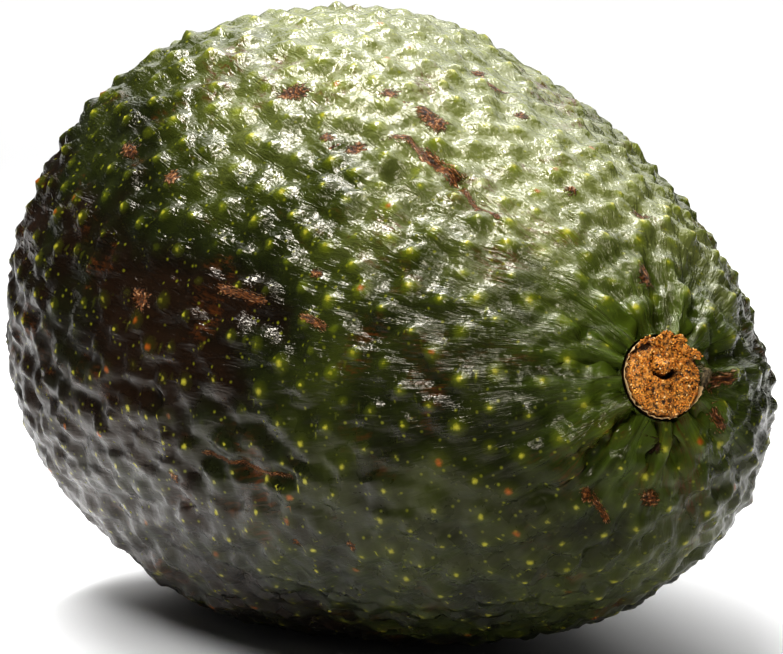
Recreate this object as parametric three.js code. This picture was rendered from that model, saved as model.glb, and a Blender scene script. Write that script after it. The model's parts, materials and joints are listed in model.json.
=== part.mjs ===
// A whole avocado, lying on its side, with the corky button that sits in the hollow at its stem end.
// Millimetres, +Z up. The stem end points towards +X. The origin is the middle of the flat spot it rests on.
import * as THREE from "three";
import { ConvexHull } from "three/addons/math/ConvexHull.js";

// The body, before its skin is raised: a pear that leans a little to one side
const HALF_LENGTH = 47.6;
const BODY_RADIUS = 33.6;
const HEIGHT_SHARE = 0.93;
const TAPER = -0.32;
const FULLNESS = 0.24;
const STEM_LEAN = { y: 4.8, z: 11 };
const BLOSSOM_LEAN = { y: 1.1, z: 1.7 };
const DROOP = THREE.MathUtils.degToRad(12);
const SPOT_DEPTH = 1.3;

// The stem button stands off the pole, and the skin is drawn towards it in ridges
const STEM_OFF_POLE = THREE.MathUtils.degToRad(18);
const BUTTON_RADIUS = 3.8;
const BUTTON_HEIGHT = 2.0;
const BUTTON_DOME = 0.7;
const HOLLOW_RADIUS = 4.2;
const HOLLOW_TAPER = 0.1;
const HOLLOW_DEPTH = 1.9;
const JOINT_GAP = 0.3;
const RIDGES = 20;
const RIDGE_HEIGHT = 0.5;
const RIDGE_REACH = 15;
const RIDGE_UNEVENNESS = { share: 0.35, turns: 7 };
const COLLAR_DEPTH = 0.9;
const COLLAR_REACH = 8;
const BUTTON_GROOVE = { radius: 1.5, width: 0.4, depth: 0.35 };
const BUTTON_LUMPS = [
  { height: 0.12, turns: 2, pitch: 2.1 },
  { height: 0.1, turns: 5, pitch: -1.4 },
  { height: 0.07, turns: 9, pitch: 3.3 },
];
const BUTTON_OUTLINE = { share: 0.03, turns: 3, phase: 0.8 };

// The tubercles, which are the pebbles of the skin
const TUBERCLE_SPACING = 4.8;
const TUBERCLE_CROWDING = 0.15;
const TUBERCLE_WIDTH = 2.6;
const TUBERCLE_HEIGHT = 1.15;
const TUBERCLE_SPREAD = 0.45;
const TUBERCLE_FLATNESS = 1.5;
const WIDTH_SPREAD = 0.3;
const TUBERCLE_STRETCH = 0.9;
const STRETCH_REACH = 26;
const SMOOTH_COLLAR = { from: 7, to: 14 };
const SWELLS = [
  { height: 0.55, turns: 3, pitch: 0.07, phase: 1.1 },
  { height: 0.4, turns: 5, pitch: -0.11, phase: 2.6 },
  { height: 0.3, turns: 8, pitch: 0.16, phase: 0.4 },
];

// The blossom scar, a small dimple at the far pole
const SCAR_RADIUS = 2.6;
const SCAR_DEPTH = 0.6;

// How the surface is divided into facets
const GOLDEN_ANGLE = Math.PI * (3 - Math.sqrt(5));
const GOLDEN_STEP = (Math.sqrt(5) - 1) / 2;
const SILVER_STEP = Math.SQRT2 - 1;
const ROOT_STEP = Math.sqrt(3) - 1;
const CANDIDATES = 9973;
const CANDIDATE_STRIDE = 3571;
const TUBERCLE_SIDES = 6;
const TUBERCLE_RING = 0.5;
const VALLEY_SPACING = 2;
const VALLEY_CLEARANCE = 1.2;
const STEM_SIDES = 3 * RIDGES;
const STEM_RINGS = [5.1, 6.4, 8.1, 10.2, 12.8];
const STEM_ZONE = 13.9;
const BUTTON_SIDES = 40;

const { clamp, smoothstep } = THREE.MathUtils;
const fraction = (x) => x - Math.floor(x);

// The body's point for a direction of the unit sphere, whose +X pole is the neck's end.
function bodyPoint(d) {
  const swell = 1 + TAPER * d.x + FULLNESS * d.x * d.x;
  const towardsStem = ((1 + d.x) / 2) ** 2;
  const towardsBlossom = ((1 - d.x) / 2) ** 2;
  return new THREE.Vector3(
    HALF_LENGTH * d.x,
    BODY_RADIUS * swell * d.y + STEM_LEAN.y * towardsStem + BLOSSOM_LEAN.y * towardsBlossom,
    BODY_RADIUS * HEIGHT_SHARE * swell * d.z + STEM_LEAN.z * towardsStem + BLOSSOM_LEAN.z * towardsBlossom,
  ).applyAxisAngle(new THREE.Vector3(0, 1, 0), DROOP);
}

// Even directions on the sphere, along a golden-angle spiral, taken in a scrambled order.
const directions = Array.from({ length: CANDIDATES }, (_, i) => {
  const n = (i * CANDIDATE_STRIDE) % CANDIDATES;
  const x = 1 - (2 * n + 1) / CANDIDATES;
  const across = Math.sqrt(1 - x * x);
  return new THREE.Vector3(x, across * Math.cos(n * GOLDEN_ANGLE), across * Math.sin(n * GOLDEN_ANGLE));
});

// The flat spot lies in the plane z = 0, and the origin is its middle.
const bodyPoints = directions.map(bodyPoint);
const floorLevel = Math.min(...bodyPoints.map((p) => p.z)) + SPOT_DEPTH;
const underFloor = bodyPoints.filter((p) => p.z < floorLevel);
const restPoint = underFloor
  .reduce((sum, p) => sum.add(p), new THREE.Vector3())
  .divideScalar(underFloor.length)
  .setZ(floorLevel);
const placed = (d) => bodyPoint(d).sub(restPoint);

// The body's point, its outward normal, and how the point moves with two steps across the sphere.
function surfaceAt(d) {
  const step = 1e-4;
  const side = new THREE.Vector3(0, 0, 1).cross(d).normalize();
  const rise = d.clone().cross(side);
  const point = placed(d);
  const slope = (t) => placed(d.clone().addScaledVector(t, step).normalize()).sub(point).divideScalar(step);
  const alongSide = slope(side);
  const alongRise = slope(rise);
  const normal = alongSide.clone().cross(alongRise).normalize();
  return { point, normal, side, rise, alongSide, alongRise };
}

// The direction whose body point lies off that of d by an offset in millimetres.
function nudged(d, offset) {
  const s = surfaceAt(d);
  const [ee, ef, ff] = [
    s.alongSide.dot(s.alongSide),
    s.alongSide.dot(s.alongRise),
    s.alongRise.dot(s.alongRise),
  ];
  const [oe, of] = [offset.dot(s.alongSide), offset.dot(s.alongRise)];
  const det = ee * ff - ef * ef;
  return d
    .clone()
    .addScaledVector(s.side, (oe * ff - of * ef) / det)
    .addScaledVector(s.rise, (of * ee - oe * ef) / det)
    .normalize();
}

// The stem's own frame: its middle on the body, its outward axis, and two directions across it.
const stemDirection = new THREE.Vector3(Math.cos(STEM_OFF_POLE), 0, Math.sin(STEM_OFF_POLE));
const stemSurface = surfaceAt(stemDirection);
const stem = { middle: stemSurface.point, axis: stemSurface.normal };
stem.right = new THREE.Vector3(0, 0, 1).cross(stem.axis).normalize();
stem.up = stem.axis.clone().cross(stem.right);

// A body point's radius and turn about the stem's axis.
function aboutStem(point) {
  const off = point.clone().sub(stem.middle);
  const [right, up] = [off.dot(stem.right), off.dot(stem.up)];
  const behind = Math.min(0, off.dot(stem.axis));
  return { radius: Math.hypot(right, up, behind), turn: Math.atan2(up, right), right, up };
}

// Points scattered no closer than a spacing, at a clearance from those already taken.
function scatter(spacing, keep, taken = [], clearance = 0) {
  const chosen = [];
  for (const d of directions) {
    const point = placed(d);
    const crowding = 1 - TUBERCLE_CROWDING * d.x;
    const clear = (q, gap) => q.distanceTo(point) > gap * crowding;
    if (!keep(point) || !taken.every((q) => clear(q, clearance))) continue;
    if (chosen.every((c) => clear(c.point, spacing))) chosen.push({ d, point });
  }
  return chosen;
}

const stemRadius = (point) => aboutStem(point).radius;
const rough = (point) => stemRadius(point) > SMOOTH_COLLAR.from;
const tubercles = scatter(TUBERCLE_SPACING, rough).map((t, i) => {
  const { normal } = surfaceAt(t.d);
  const towardsStem = stem.middle.clone().sub(t.point).projectOnPlane(normal).normalize();
  const reach = stemRadius(t.point) / STRETCH_REACH;
  const grown = smoothstep(stemRadius(t.point), SMOOTH_COLLAR.from, SMOOTH_COLLAR.to);
  return {
    ...t,
    towardsStem,
    normal,
    stretch: 1 + TUBERCLE_STRETCH * Math.exp(-reach * reach),
    width: TUBERCLE_WIDTH * (1 + WIDTH_SPREAD * (fraction(i * ROOT_STEP) - 0.5)),
    height: TUBERCLE_HEIGHT * (1 - TUBERCLE_SPREAD * fraction(i * GOLDEN_STEP)) * grown,
  };
});

// The height of the tubercles at a body point. Each is a dome, drawn out towards the stem near it.
function tubercleHeight(point) {
  let height = 0;
  for (const t of tubercles) {
    const off = point.clone().sub(t.point);
    const along = off.dot(t.towardsStem);
    const u = (off.lengthSq() - along * along + (along / t.stretch) ** 2) / t.width ** 2;
    if (u < 1) height = Math.max(height, t.height * (1 - u ** TUBERCLE_FLATNESS) ** 2);
  }
  return height;
}

// The broad unevenness of the fruit.
function swellHeight(d) {
  const turn = Math.atan2(d.z, d.y);
  const calm = 1 - d.x * d.x;
  const around = (s) => Math.sin(s.turns * turn + s.phase);
  const along = (s) => Math.cos(s.pitch * HALF_LENGTH * d.x + s.phase);
  return SWELLS.reduce((sum, s) => sum + calm * s.height * around(s) * along(s), 0);
}

// The ridges that meet at the stem, and the collar that sinks towards it.
function stemHeight({ radius, turn }) {
  const fade = Math.exp(-((radius / RIDGE_REACH) ** 2));
  const uneven = 1 + RIDGE_UNEVENNESS.share * Math.sin(RIDGE_UNEVENNESS.turns * turn);
  const ridges = RIDGE_HEIGHT * uneven * fade * Math.cos(RIDGES * turn);
  const collar = -COLLAR_DEPTH * Math.exp(-((radius / COLLAR_REACH) ** 2));
  return ridges + collar;
}

// A point of the finished skin.
function skinPoint(d) {
  const { point, normal } = surfaceAt(d);
  const about = aboutStem(point);
  if (about.radius < HOLLOW_RADIUS - HOLLOW_TAPER / 2)
    return stem.middle
      .clone()
      .addScaledVector(stem.right, about.right)
      .addScaledVector(stem.up, about.up)
      .addScaledVector(stem.axis, -HOLLOW_DEPTH);
  const fromScar = Math.acos(clamp(-d.x, -1, 1)) * BODY_RADIUS;
  const scar = SCAR_DEPTH * (1 - smoothstep(fromScar, 0, SCAR_RADIUS));
  const height = tubercleHeight(point) + swellHeight(d) + stemHeight(about) - scar;
  const raised = point.addScaledVector(normal, height);
  return raised.setZ(Math.max(raised.z, 0));
}

// Directions in a ring about the stem, at a true radius.
function stemRing(radius, sides, turn) {
  return Array.from({ length: sides }, (_, i) => {
    const angle = (2 * Math.PI * (i + turn)) / sides;
    const outwards = new THREE.Vector3()
      .addScaledVector(stem.right, Math.cos(angle))
      .addScaledVector(stem.up, Math.sin(angle));
    let reach = radius;
    let d = stemDirection;
    for (let tries = 0; tries < 6; tries++) {
      d = nudged(stemDirection, outwards.clone().multiplyScalar(reach));
      reach *= radius / stemRadius(placed(d));
    }
    return d;
  });
}

// The convex hull of points on a sphere joins them in even triangles. The points then move to the skin.
function fruitGeometry() {
  const rings = [
    [stemDirection],
    stemRing(HOLLOW_RADIUS - HOLLOW_TAPER, STEM_SIDES, 0),
    stemRing(HOLLOW_RADIUS, STEM_SIDES, 0.5),
    ...STEM_RINGS.map((radius, i) => stemRing(radius, STEM_SIDES, i % 2 ? 0.5 : 0)),
  ].flat();
  const domes = tubercles.flatMap((t, i) => {
    const aside = t.normal.clone().cross(t.towardsStem);
    const ring = Array.from({ length: TUBERCLE_SIDES }, (_, k) => {
      const angle = (2 * Math.PI * (k + fraction(i * SILVER_STEP))) / TUBERCLE_SIDES;
      const reach = TUBERCLE_RING * t.width;
      const offset = new THREE.Vector3()
        .addScaledVector(t.towardsStem, reach * t.stretch * Math.cos(angle))
        .addScaledVector(aside, reach * Math.sin(angle));
      return nudged(t.d, offset);
    });
    return [t.d, ...ring];
  });
  const pastRings = (point) => stemRadius(point) > STEM_ZONE;
  const outside = domes.filter((d) => pastRings(placed(d)));
  const valleys = scatter(VALLEY_SPACING, pastRings, outside.map(placed), VALLEY_CLEARANCE);
  const all = [...rings, ...outside, ...valleys.map((v) => v.d)];
  const number = new Map(all.map((d, i) => [d, i]));
  const index = new ConvexHull().setFromPoints(all).faces.flatMap((face) => {
    const { edge } = face;
    return [edge.tail().point, edge.head().point, edge.next.head().point].map((p) => number.get(p));
  });
  return new THREE.BufferGeometry().setFromPoints(all.map(skinPoint)).setIndex(index);
}

// The button is turned as a low disc, and then its top is made uneven, as torn cork is.
function buttonGeometry() {
  const edge = BUTTON_HEIGHT - BUTTON_DOME;
  const rise = (share) => edge + BUTTON_DOME * Math.sqrt(1 - share ** 2);
  const dome = (share) => new THREE.Vector2(BUTTON_RADIUS * share, rise(share));
  const profile = [
    new THREE.Vector2(0, 0),
    new THREE.Vector2(BUTTON_RADIUS - 0.5, 0),
    new THREE.Vector2(BUTTON_RADIUS - 0.1, 0.4),
    new THREE.Vector2(BUTTON_RADIUS, edge),
    ...[0.94, 0.8, 0.64, 0.48, 0.32, 0.16, 0].map(dome),
  ];
  const geometry = new THREE.LatheGeometry(profile, BUTTON_SIDES).rotateX(Math.PI / 2);
  const place = geometry.getAttribute("position");
  for (let i = 0; i < place.count; i++) {
    const [x, y, z] = [place.getX(i), place.getY(i), place.getZ(i)];
    const radius = Math.hypot(x, y);
    const turn = radius > 1e-6 ? Math.atan2(y, x) : 0;
    const top = smoothstep(z, edge * 0.9, edge);
    const outer = Math.min(1, radius / BUTTON_GROOVE.radius);
    const fromGroove = (radius - BUTTON_GROOVE.radius) / BUTTON_GROOVE.width;
    const groove = -BUTTON_GROOVE.depth * Math.exp(-(fromGroove ** 2)) * (0.6 - 0.4 * Math.sin(turn));
    const lump = (l) => l.height * Math.sin(l.turns * turn + l.pitch * radius);
    const lumps = BUTTON_LUMPS.reduce((sum, l) => sum + outer * lump(l), 0);
    const bulge = 1 + Math.sin(BUTTON_OUTLINE.turns * turn + BUTTON_OUTLINE.phase);
    const shrink = 1 - BUTTON_OUTLINE.share * bulge * outer;
    place.setXYZ(i, x * shrink, y * shrink, z + top * (groove + lumps));
  }
  return geometry;
}

function mesh(name, geometry, color, roughness) {
  const material = new THREE.MeshStandardMaterial({ color, roughness, metalness: 0 });
  const made = new THREE.Mesh(geometry, material);
  made.name = name;
  return made;
}

const fruit = mesh("fruit", fruitGeometry(), 0x2c3a16, 0.35);
const button = mesh("stem_button", buttonGeometry(), 0xa8641e, 0.9);
button.quaternion.setFromRotationMatrix(new THREE.Matrix4().makeBasis(stem.right, stem.up, stem.axis));
button.position.copy(stem.middle).addScaledVector(stem.axis, JOINT_GAP - HOLLOW_DEPTH);

const avocado = new THREE.Group();
avocado.name = "avocado";
avocado.add(fruit, button);

export default avocado;
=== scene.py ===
# %% [markdown]
# # Dressing a whole avocado
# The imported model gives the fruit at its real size, lying on its flat spot, with a stem button in its hollow.
# Here both get their fine skin. The fruit's form comes from the formula that its solid has, so the dressed
# fruit stays where the solid is. Lengths are in millimetres until a mesh is made, and Blender's are metres.

# %% Load the frame
import json
import math

import bpy
import numpy as np
from mathutils import Matrix, Vector
from mathutils.bvhtree import BVHTree

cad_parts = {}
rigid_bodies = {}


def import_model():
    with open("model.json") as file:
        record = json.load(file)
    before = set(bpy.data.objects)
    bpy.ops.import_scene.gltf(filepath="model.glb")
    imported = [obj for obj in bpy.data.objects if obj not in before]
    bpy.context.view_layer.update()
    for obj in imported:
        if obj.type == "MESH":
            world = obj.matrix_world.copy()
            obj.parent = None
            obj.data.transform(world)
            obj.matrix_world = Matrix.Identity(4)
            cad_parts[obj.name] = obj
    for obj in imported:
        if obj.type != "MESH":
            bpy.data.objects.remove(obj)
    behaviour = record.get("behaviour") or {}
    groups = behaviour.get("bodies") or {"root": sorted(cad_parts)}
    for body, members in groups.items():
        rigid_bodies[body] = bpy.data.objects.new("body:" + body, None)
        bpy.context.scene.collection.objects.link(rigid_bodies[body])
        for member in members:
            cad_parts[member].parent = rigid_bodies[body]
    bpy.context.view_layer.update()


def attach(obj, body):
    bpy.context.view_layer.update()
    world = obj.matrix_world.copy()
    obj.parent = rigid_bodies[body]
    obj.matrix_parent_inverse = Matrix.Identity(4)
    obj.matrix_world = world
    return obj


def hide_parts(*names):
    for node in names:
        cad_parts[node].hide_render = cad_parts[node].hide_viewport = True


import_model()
MM = 0.001

# %% [markdown]
# ## The body's formula
# An avocado is a pear that never grows quite straight. A direction of the unit sphere, whose +X pole is the
# neck's end, is stretched to the fruit's length and width, and the neck is leaned to one side. An array of
# directions goes in, and an array of points comes out, because numpy handles thousands of points at once.

# %% The body's formula
HALF_LENGTH = 47.6
BODY_RADIUS = 33.6
HEIGHT_SHARE = 0.93
TAPER, FULLNESS = -0.32, 0.24
STEM_LEAN = np.array((0, 4.8, 11))
BLOSSOM_LEAN = np.array((0, 1.1, 1.7))
DROOP = math.radians(12)
SPOT_DEPTH = 1.3
SAMPLES = 9973
SWELLS = ((0.55, 3, 0.07, 1.1), (0.4, 5, -0.11, 2.6), (0.3, 8, 0.16, 0.4))


def unit(vectors):
    """Vectors of length 1."""
    return vectors / np.linalg.norm(vectors, axis=-1, keepdims=True)


def turned_about_y(vectors, angle):
    x, y, z = np.moveaxis(vectors, -1, 0)
    cos, sin = np.cos(angle), np.sin(angle)
    return np.stack((x * cos + z * sin, y, z * cos - x * sin), -1)


def body_points(directions):
    """The body's points in mm, about the middle of the formula."""
    x = directions[..., :1]
    swell = 1 + TAPER * x + FULLNESS * x * x
    widths = (HALF_LENGTH + 0 * x, BODY_RADIUS * swell, BODY_RADIUS * HEIGHT_SHARE * swell)
    leans = STEM_LEAN * ((1 + x) / 2) ** 2 + BLOSSOM_LEAN * ((1 - x) / 2) ** 2
    return turned_about_y(np.concatenate(widths, -1) * directions + leans, DROOP)


def spiral_directions(count):
    """Directions spread evenly over the sphere."""
    n = np.arange(count)
    x = 1 - (2 * n + 1) / count
    across = np.sqrt(1 - x * x)
    turn = n * math.pi * (3 - math.sqrt(5))
    return np.stack((x, across * np.cos(turn), across * np.sin(turn)), -1)


spread = body_points(spiral_directions(SAMPLES))
floor_level = spread[:, 2].min() + SPOT_DEPTH
rest_point = spread[spread[:, 2] < floor_level].mean(0)
rest_point[2] = floor_level
print("flat spot found at", rest_point.round(2), "mm from the middle of the formula")


def placed(directions):
    """The body's points in mm, with the middle of the flat spot at the origin."""
    return body_points(directions) - rest_point


# %% [markdown]
# ## The stem's own frame
# The button sits a little off the neck's pole, so it needs a frame of its own: its middle on the body, the
# direction that it faces, and two directions across it. The outward direction is the cross product of two
# short steps along the body.

# %% The stem's frame
STEM_OFF_POLE = math.radians(18)
stem_direction = np.array((math.cos(STEM_OFF_POLE), 0, math.sin(STEM_OFF_POLE)))
stem_side = np.array((0.0, 1.0, 0.0))
stem_rise = np.cross(stem_direction, stem_side)
stem_middle = placed(stem_direction)
STEP = 1e-4
slopes = [
    (placed(unit(stem_direction + STEP * way)) - stem_middle) / STEP
    for way in (stem_side, stem_rise)
]
stem_axis = unit(np.cross(*slopes))
stem_right = unit(np.cross((0, 0, 1), stem_axis))
stem_up = np.cross(stem_axis, stem_right)
across_stem = np.stack((stem_right, stem_up))
print("stem button at", stem_middle.round(1), "mm, facing", stem_axis.round(2))


def stem_distance(points):
    """How far points are from the stem's axis, in mm."""
    off = points - stem_middle
    behind = np.minimum(0, off @ stem_axis)
    return np.sqrt(((off @ across_stem.T) ** 2).sum(-1) + behind**2)


# %% [markdown]
# ## The camera
# A long lens, close to the photograph's own framing, looks at the stem end from a little above. The same
# numbers also turn a pixel of the photograph into a ray, so a mark can be put on the skin where it is seen.

# %% The camera
PHOTO_WIDTH, PHOTO_HEIGHT = 783, 654
CAMERA_AZIMUTH, CAMERA_ELEVATION = math.radians(64.7), math.radians(10)
CAMERA_DISTANCE = 400
SENSOR_WIDTH = 36
LENS = 176
AIM_RIGHT, AIM_UP = -0.6, 6.7
back = np.array((
    math.sin(CAMERA_AZIMUTH) * math.cos(CAMERA_ELEVATION),
    -math.cos(CAMERA_AZIMUTH) * math.cos(CAMERA_ELEVATION),
    math.sin(CAMERA_ELEVATION),
))
view_right = np.array((math.cos(CAMERA_AZIMUTH), math.sin(CAMERA_AZIMUTH), 0))
view_up = np.cross(back, view_right)
camera_place = back * CAMERA_DISTANCE + view_right * AIM_RIGHT + view_up * AIM_UP - rest_point
camera_data = bpy.data.cameras.new("camera")
camera_data.lens = LENS
camera_data.sensor_width = SENSOR_WIDTH
camera_data.clip_start = 0.01
camera = bpy.data.objects.new("camera", camera_data)
bpy.context.scene.collection.objects.link(camera)
camera.matrix_world = Matrix.Translation(Vector(camera_place * MM)) @ Matrix(
    np.stack((view_right, view_up, back), 1).tolist()
).to_4x4()
bpy.context.scene.camera = camera
print("camera", CAMERA_DISTANCE, "mm away with a", LENS, "mm lens")


def pixel_ray(column, row):
    """The direction from the camera through a pixel of the photograph."""
    focal = LENS / SENSOR_WIDTH * PHOTO_WIDTH
    right, up = (column - PHOTO_WIDTH / 2) / focal, (PHOTO_HEIGHT / 2 - row) / focal
    return unit(view_right * right + view_up * up - back)


# %% [markdown]
# ## The smooth body as a mesh
# The skin wrinkles along lines that run from the stem to the blossom end, so the mesh is laid out the same
# way: rings about the stem, and meridians that meet there. A mesh that follows the wrinkles shows them with
# fewer faces. Near the stem the rings are true circles about its axis, found by a few correcting steps.

# %% The rings and meridians
MERIDIANS = 460
MEAN_RADIUS, STEP_GROWTH = 37.5, 1.6
HOLLOW_RADIUS, HOLLOW_DEPTH = 4.2, 1.9
HOLLOW_RINGS = (0, 1.4, 2.8, 3.8, 4.05, 4.15)
CIRCLES_END, BLEND_START = 24, 9
FINE_STEP, COARSE_STEP = 0.2, 0.56
CORRECTIONS, CORRECTION_SHARE = 14, 0.8


def warped_direction(polar, turn):
    """Directions about the stem: the sphere's pole is drawn to it, and the far pole stays."""
    plain = np.stack(np.broadcast_arrays(
        np.cos(polar), np.sin(polar) * np.cos(turn), np.sin(polar) * np.sin(turn)
    ), -1)
    return turned_about_y(plain, -STEM_OFF_POLE * ((1 + np.cos(polar)) / 2) ** 2)


def circle_directions(radius, turn):
    """Directions whose body points lie in a circle of that radius about the stem's axis."""
    wanted = np.stack((np.cos(turn), np.sin(turn)), -1)
    to_sphere = np.linalg.inv(np.stack([across_stem @ slope for slope in slopes], 1))
    lean = (radius * wanted) @ to_sphere.T
    for _ in range(CORRECTIONS):
        directions = unit(stem_direction + lean[..., :1] * stem_side + lean[..., 1:] * stem_rise)
        points = placed(directions)
        flat = (points - stem_middle) @ across_stem.T
        length = np.linalg.norm(flat, axis=-1, keepdims=True)
        miss = wanted * length * radius / stem_distance(points)[..., None] - flat
        lean = lean + CORRECTION_SHARE * miss @ to_sphere.T
    return directions


turns = 2 * math.pi * np.arange(MERIDIANS) / MERIDIANS
polar_samples = np.linspace(0.02, 2, 400)
sample_points = placed(warped_direction(polar_samples[:, None], turns[None, ::8]))
sample_radii = stem_distance(sample_points).mean(1)
radii = list(HOLLOW_RINGS) + [HOLLOW_RADIUS]
while radii[-1] < CIRCLES_END:
    grown = (radii[-1] - HOLLOW_RADIUS) / (CIRCLES_END - HOLLOW_RADIUS)
    radii.append(radii[-1] + FINE_STEP + (COARSE_STEP - FINE_STEP) * min(1, STEP_GROWTH * grown))
first_polar = float(np.interp(radii[-1], sample_radii, polar_samples))
POLAR_STEP = COARSE_STEP / MEAN_RADIUS
far_polars = np.arange(first_polar + POLAR_STEP, math.pi - POLAR_STEP / 2, POLAR_STEP)

ring_directions = []
for radius in radii[1:]:
    share = np.clip((radius - BLEND_START) / (CIRCLES_END - BLEND_START), 0, 1)
    share = share * share * (3 - 2 * share)
    warped = warped_direction(np.interp(radius, sample_radii, polar_samples) + 0 * turns, turns)
    ring_directions.append(unit(warped * share + circle_directions(radius, turns) * (1 - share)))
ring_directions += [warped_direction(polar + 0 * turns, turns) for polar in far_polars]
ring_directions = np.array(ring_directions)
print("rings:", len(ring_directions), "meridians:", MERIDIANS)

# %% [markdown]
# The rings become one closed mesh: faces join each ring to the next, and a point at either end closes it. Its
# normals say which way the skin faces at each point, and everything that follows is raised along them.

# %% The mesh
directions = np.concatenate((stem_direction[None], ring_directions.reshape(-1, 3), [(-1.0, 0, 0)]))
smooth = placed(directions)
ring_count = len(ring_directions)


def ring_faces(rings, sides):
    """Faces of rings joined side by side, with a pole at either end. The first point is a pole."""
    ring = 1 + sides * np.arange(rings)[:, None]
    here = ring + np.arange(sides)
    there = ring + (np.arange(sides) + 1) % sides
    faces = np.stack((here[:-1], here[1:], there[1:], there[:-1]), -1).reshape(-1, 4).tolist()
    faces += [(0, int(a), int(b)) for a, b in zip(here[0], there[0])]
    last = int(ring[-1, 0]) + sides
    faces += [(last, int(b), int(a)) for a, b in zip(here[-1], there[-1])]
    return faces


def made_object(name, points_mm, faces):
    """An object with a mesh of those points and faces."""
    mesh = bpy.data.meshes.new(name)
    mesh.from_pydata((points_mm * MM).tolist(), [], faces)
    mesh.validate()
    mesh.shade_smooth()
    thing = bpy.data.objects.new(name, mesh)
    bpy.context.scene.collection.objects.link(thing)
    return thing


body = made_object("fruit_skin", smooth, ring_faces(ring_count, MERIDIANS))
normals = np.zeros(len(smooth) * 3, np.float32)
body.data.vertices.foreach_get("normal", normals)
normals = normals.reshape(-1, 3).astype(float)
print("smooth body:", len(smooth), "points,", len(body.data.polygons), "faces")

# %% [markdown]
# The broad unevenness of the fruit comes from the same three waves that the solid has, and the far pole gets
# its blossom scar. Each hollow that the photograph shows is a short line between two of its pixels, with a
# radius and a depth in millimetres. Its edge is raised a little, as in a dented fruit.

# %% Swells, scar and hollows
SCAR_RADIUS, SCAR_DEPTH = 2.6, 0.6
DENT_LIP, LIP_PLACE, LIP_WIDTH = 0.45, 1.5, 0.5
HOLLOW_EDGE = 4.1
DENTS = (
    ((398, 172), (404, 171), 1.3, 0.85), ((205, 456), (240, 468), 1.1, 0.3),
    ((240, 468), (290, 480), 0.9, 0.25), ((652, 440), (658, 452), 1.1, 0.25),
    ((170, 476), (175, 479), 0.9, 0.4), ((150, 395), (154, 398), 1.0, 0.4),
    ((205, 525), (209, 528), 0.9, 0.4), ((300, 500), (304, 502), 0.9, 0.4),
    ((420, 140), (458, 180), 0.8, 0.35), ((560, 560), (564, 562), 1.0, 0.4),
    ((700, 500), (705, 515), 0.9, 0.4), ((610, 150), (622, 164), 1.0, 0.4),
)


def eased(share):
    """A share held between 0 and 1, with soft ends."""
    share = np.clip(share, 0, 1)
    return share * share * (3 - 2 * share)


def on_body(pixel):
    """The place on the body, in mm, that a pixel of the photograph shows."""
    hit = reach_tree.ray_cast(Vector(camera_place * MM), Vector(pixel_ray(*pixel)))[0]
    return np.array(hit) / MM


around = np.arctan2(directions[:, 2], directions[:, 1])
calm = 1 - directions[:, 0] ** 2
swell = sum(
    height * calm * np.sin(waves * around + phase) * np.cos(pitch * HALF_LENGTH * directions[:, 0] + phase)
    for height, waves, pitch, phase in SWELLS
)
from_scar = np.arccos(np.clip(-directions[:, 0], -1, 1)) * BODY_RADIUS
formed = smooth + normals * (swell - SCAR_DEPTH * eased(1 - from_scar / SCAR_RADIUS))[:, None]
reach_tree = BVHTree.FromPolygons((smooth * MM).tolist(), [list(p.vertices) for p in body.data.polygons])
for start, end, radius, depth in DENTS:
    start, end = on_body(start), on_body(end)
    share = np.clip((smooth - start) @ (end - start) / ((end - start) @ (end - start)), 0, 1)
    gap = np.linalg.norm(smooth - start - share[:, None] * (end - start), axis=1) / radius
    lip = DENT_LIP * np.exp(-(((gap - LIP_PLACE) / LIP_WIDTH) ** 2))
    formed -= normals * (depth * (np.exp(-gap**2) - lip))[:, None]
distance = stem_distance(smooth)
in_hollow = distance < HOLLOW_EDGE
off = (smooth - stem_middle) @ across_stem.T
formed[in_hollow] = stem_middle + off[in_hollow] @ across_stem - HOLLOW_DEPTH * stem_axis
body.data.vertices.foreach_set("co", (formed * MM).astype(np.float32).ravel())
print("hollows:", len(DENTS))

# %% [markdown]
# Each point also keeps what the next steps need: how far it is from the stem, its turn about it, the way to
# the stem along the skin, and a grain. The grain is a space in which the lines from the stem to the far pole
# are straight and parallel, and squeezed along them, so noise in it becomes long wrinkles.

# %% What each point keeps
GRAIN_RADIUS, GRAIN_SQUEEZE = 30, 0.28
TILT, WRINKLED_FROM, WRINKLED_OVER, LEAST_WRINKLED = 0.15, 32, 12, 0.28
SKIN_FROM = 4.19


def keep(thing, name, values, kind="FLOAT"):
    """Keeps a value at each point of an object's mesh, under a name."""
    attribute = thing.data.attributes.new(name, kind, "POINT")
    field = "value" if kind == "FLOAT" else "vector"
    attribute.data.foreach_set(field, np.asarray(values, np.float32).ravel())


ring_turn = np.concatenate(([0], np.tile(turns, ring_count), [0]))
meridian = formed[1:-1].reshape(ring_count, MERIDIANS, 3)
steps = np.linalg.norm(np.diff(meridian, axis=0), axis=-1).mean(1)
travelled = np.concatenate(([0], np.repeat(np.concatenate(([0], np.cumsum(steps))), MERIDIANS), [0]))
travelled[-1] = travelled[-2] + COARSE_STEP
grain = np.stack((
    GRAIN_RADIUS * np.cos(ring_turn), GRAIN_RADIUS * np.sin(ring_turn), GRAIN_SQUEEZE * travelled
), -1) * MM
back_ring = np.concatenate((meridian[:1], meridian[:-1]))
back_ring[0] = stem_middle
to_stem = np.zeros_like(formed)
to_stem[1:-1] = unit(back_ring - meridian + 1e-9).reshape(-1, 3)
to_stem[-1] = unit(meridian[-1].mean(0) - formed[-1] + (0, 0, 1e-3))
slant = (formed[:, 2] + TILT * formed[:, 0] - WRINKLED_FROM) / WRINKLED_OVER
keep(body, "wrinkled", LEAST_WRINKLED + (1 - LEAST_WRINKLED) * eased(slant))
keep(body, "stem_distance", distance * MM)
keep(body, "turn", ring_turn)
keep(body, "on_skin", ~in_hollow & (distance > SKIN_FROM))
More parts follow.
